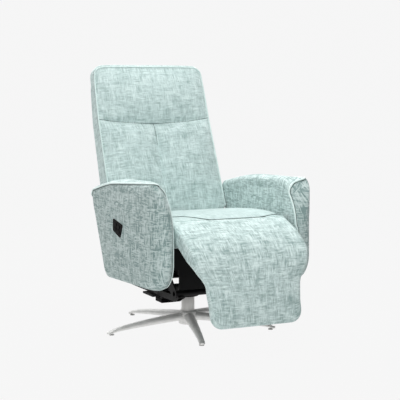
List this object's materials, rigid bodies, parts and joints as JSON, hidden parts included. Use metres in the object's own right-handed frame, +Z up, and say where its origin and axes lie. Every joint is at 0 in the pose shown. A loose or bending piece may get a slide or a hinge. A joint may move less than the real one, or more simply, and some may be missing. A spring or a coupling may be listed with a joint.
{
  "type": "power lift recliner",
  "caption": "Upholstered power lift recliner on a star swivel base, with padded arms, tilting headrest, legrest with fold-out foot flap and a switch plate on one arm.",
  "frame": {"origin": "on the floor, under the middle of the overall box", "axes": "+Z up, the sitter faces -Y, +X is the sitter's left; left and right in the node names are as seen from the front, so the left arm with the switch plate is at -X"},
  "size_m": [0.7239, 1.0976, 1.0988],
  "materials": {
    "star_aluminium": "satin cast and brushed",
    "zinc_steel": "zinc plated",
    "black_steel": "matte black powder coat",
    "black_plastic": "fine grain",
    "grey_plastic": "fine grain",
    "cover": "pale mint slub weave with piping",
    "webbing": "woven elastic strap",
    "plywood": "raw birch plywood"
  },
  "bodies": {
    "base": {"star_base": "star_aluminium", "foot_glide_1": "grey_plastic", "foot_glide_2": "grey_plastic", "foot_glide_3": "grey_plastic", "foot_glide_4": "grey_plastic", "foot_glide_5": "grey_plastic", "column_tube": "star_aluminium", "column_bush": "black_plastic"},
    "turntable": {"swivel_spindle": "zinc_steel", "swivel_flange": "black_steel", "cross_plate": "black_steel", "base_rail_left": "black_steel", "base_rail_right": "black_steel", "base_front_tube": "black_steel", "base_middle_tube": "black_steel", "base_motor_tube": "black_steel", "control_box": "black_plastic", "control_box_bracket": "black_steel"},
    "front_links": {"front_link_left": "black_steel", "front_link_right": "black_steel"},
    "rear_links": {"rear_link_left": "black_steel", "rear_link_right": "black_steel"},
    "seat": {"seat_rail_left": "black_steel", "seat_rail_right": "black_steel", "seat_front_tube": "black_steel", "seat_rear_tube": "black_steel", "seat_apron": "black_steel", "seat_webbing": "webbing", "seat_cushion": "cover", "arm_board_left": "plywood", "arm_board_right": "plywood", "arm_bracket_left": "black_steel", "arm_bracket_right": "black_steel", "arm_pad_left": "cover", "arm_pad_right": "cover", "switch_plate": "black_plastic"},
    "lift_key": {"key_lift": "black_plastic"},
    "lower_key": {"key_lower": "black_plastic"},
    "recline_key": {"key_recline": "black_plastic"},
    "legrest_key": {"key_legrest": "black_plastic"},
    "backrest": {"back_board": "plywood", "back_pad": "cover", "back_pivot_rod": "zinc_steel", "head_hinge": "zinc_steel"},
    "headrest": {"head_frame": "zinc_steel", "head_pad": "cover"},
    "legrest": {"legrest_pad": "cover", "legrest_frame": "black_steel", "legrest_pivot_rod": "zinc_steel"},
    "foot_flap": {"flap_pad": "cover", "flap_board": "plywood", "flap_hinge_rod": "zinc_steel"},
    "lift_drive": {"lift_motor": "black_plastic"},
    "lift_spindle": {"lift_rod": "zinc_steel"},
    "back_drive": {"back_motor": "black_plastic"},
    "back_spindle": {"back_rod": "zinc_steel"},
    "legrest_drive": {"legrest_motor": "black_plastic"},
    "legrest_spindle": {"legrest_rod": "zinc_steel"}
  },
  "joints": [
    {"name": "swivel", "type": "hinge", "parent": "base", "child": "turntable", "pos_m": [0, 0.078, 0.1], "axis": [0, 0, 1], "continuous": true},
    {"name": "lift", "type": "hinge", "parent": "turntable", "child": "front_links", "pos_m": [0, -0.172, 0.1962], "axis": [1, 0, 0], "range_deg": [0, 40]},
    {"name": "rear_link_swing", "type": "hinge", "parent": "turntable", "child": "rear_links", "pos_m": [0, -0.022, 0.1962], "axis": [1, 0, 0], "range_deg": [0, 38]},
    {"name": "seat_tilt", "type": "hinge", "parent": "front_links", "child": "seat", "pos_m": [0, -0.032, 0.32], "axis": [1, 0, 0], "range_deg": [-28, 0]},
    {"name": "lift_drive_tilt", "type": "hinge", "parent": "turntable", "child": "lift_drive", "pos_m": [0, 0.268, 0.1962], "axis": [1, 0, 0], "range_deg": [-8, 1]},
    {"name": "lift_stroke", "type": "slide", "parent": "lift_drive", "child": "lift_spindle", "axis": [0, -0.971, 0.2389], "range_m": [0, 0.115]},
    {"name": "recline", "type": "hinge", "parent": "seat", "child": "backrest", "pos_m": [0, 0.28, 0.4], "axis": [-1, 0, 0], "range_deg": [0, 38]},
    {"name": "back_drive_tilt", "type": "hinge", "parent": "seat", "child": "back_drive", "pos_m": [0.085, -0.032, 0.354], "axis": [1, 0, 0], "range_deg": [-3, 1]},
    {"name": "back_stroke", "type": "slide", "parent": "back_drive", "child": "back_spindle", "axis": [0, 1, -0.0048], "range_m": [-0.038, 0]},
    {"name": "head_tilt", "type": "hinge", "parent": "backrest", "child": "headrest", "pos_m": [0, 0.44952, 0.85439], "axis": [1, 0, 0], "range_deg": [0, 25]},
    {"name": "legrest_swing", "type": "hinge", "parent": "seat", "child": "legrest", "pos_m": [0, -0.287, 0.447], "axis": [-1, 0, 0], "range_deg": [-25, 32]},
    {"name": "flap_fold", "type": "hinge", "parent": "legrest", "child": "foot_flap", "pos_m": [0, -0.46702, 0.35201], "axis": [-1, 0, 0], "range_deg": [-32, 40]},
    {"name": "legrest_drive_tilt", "type": "hinge", "parent": "seat", "child": "legrest_drive", "pos_m": [-0.085, 0.223, 0.354], "axis": [1, 0, 0], "range_deg": [-3, 3]},
    {"name": "legrest_stroke", "type": "slide", "parent": "legrest_drive", "child": "legrest_spindle", "axis": [0, -0.9998, 0.0205], "range_m": [-0.037, 0.046]},
    {"name": "lift_key_press", "type": "slide", "parent": "seat", "child": "lift_key", "axis": [1, 0, 0], "range_m": [0, 0.0012], "stiffness_N_per_m": 400, "springref_m": -0.001},
    {"name": "lower_key_press", "type": "slide", "parent": "seat", "child": "lower_key", "axis": [1, 0, 0], "range_m": [0, 0.0012], "stiffness_N_per_m": 400, "springref_m": -0.001},
    {"name": "recline_key_press", "type": "slide", "parent": "seat", "child": "recline_key", "axis": [1, 0, 0], "range_m": [0, 0.0012], "stiffness_N_per_m": 400, "springref_m": -0.001},
    {"name": "legrest_key_press", "type": "slide", "parent": "seat", "child": "legrest_key", "axis": [1, 0, 0], "range_m": [0, 0.0012], "stiffness_N_per_m": 400, "springref_m": -0.001}
  ],
  "couplings": [
    {"joint": "seat_tilt", "follows": "lift", "ratio": -0.66},
    {"joint": "rear_link_swing", "follows": "lift", "ratio": 0.91},
    {"joint": "lift_drive_tilt", "follows": "lift", "ratio": -0.155},
    {"joint": "lift_stroke", "follows": "lift", "m_per_rad": 0.16},
    {"joint": "back_drive_tilt", "follows": "recline", "ratio": -0.045},
    {"joint": "back_stroke", "follows": "recline", "m_per_rad": -0.0525},
    {"joint": "flap_fold", "follows": "legrest_swing", "ratio": 1.2},
    {"joint": "legrest_drive_tilt", "follows": "legrest_swing", "ratio": -0.045},
    {"joint": "legrest_stroke", "follows": "legrest_swing", "m_per_rad": 0.0775}
  ]
}
